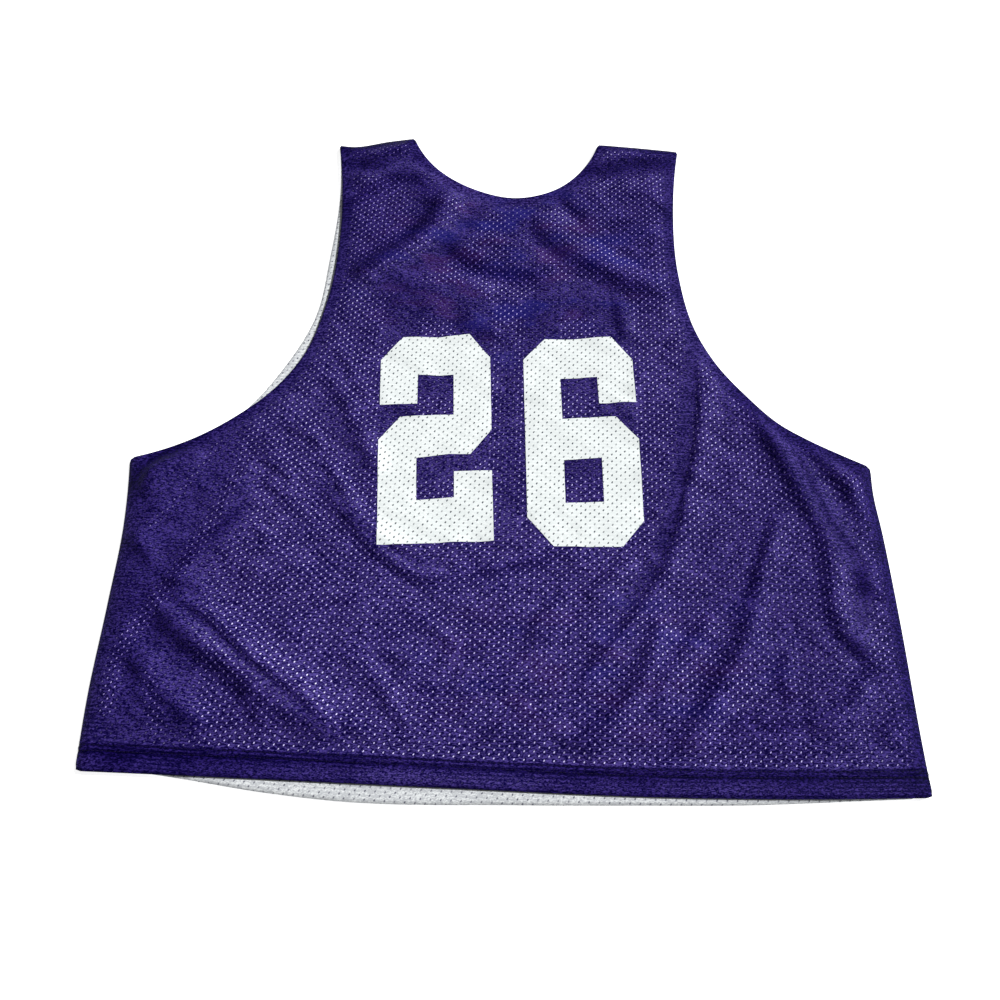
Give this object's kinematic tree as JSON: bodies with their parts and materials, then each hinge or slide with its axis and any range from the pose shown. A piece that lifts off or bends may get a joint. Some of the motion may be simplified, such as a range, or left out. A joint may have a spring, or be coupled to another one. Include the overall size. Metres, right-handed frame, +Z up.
{
  "type": "reversible lacrosse jersey",
  "caption": "Sleeveless two-ply net-knit practice jersey, purple outside and white inside, laid flat on its front, with plain block numerals on the back.",
  "frame": {"origin": "on the surface the jersey lies on, under the middle of its bounding box", "axes": "+X along the hem, +Y from the hem to the shoulders, +Z up through the cloth"},
  "size_m": [0.6563, 0.6414, 0.0161],
  "materials": {
    "purple_net": "matt polyester net knit",
    "white_net": "matt polyester net knit"
  },
  "bodies": {
    "root": {"back_outer": "purple_net", "back_inner": "white_net", "front_inner": "white_net", "front_outer": "purple_net"}
  },
  "joints": []
}
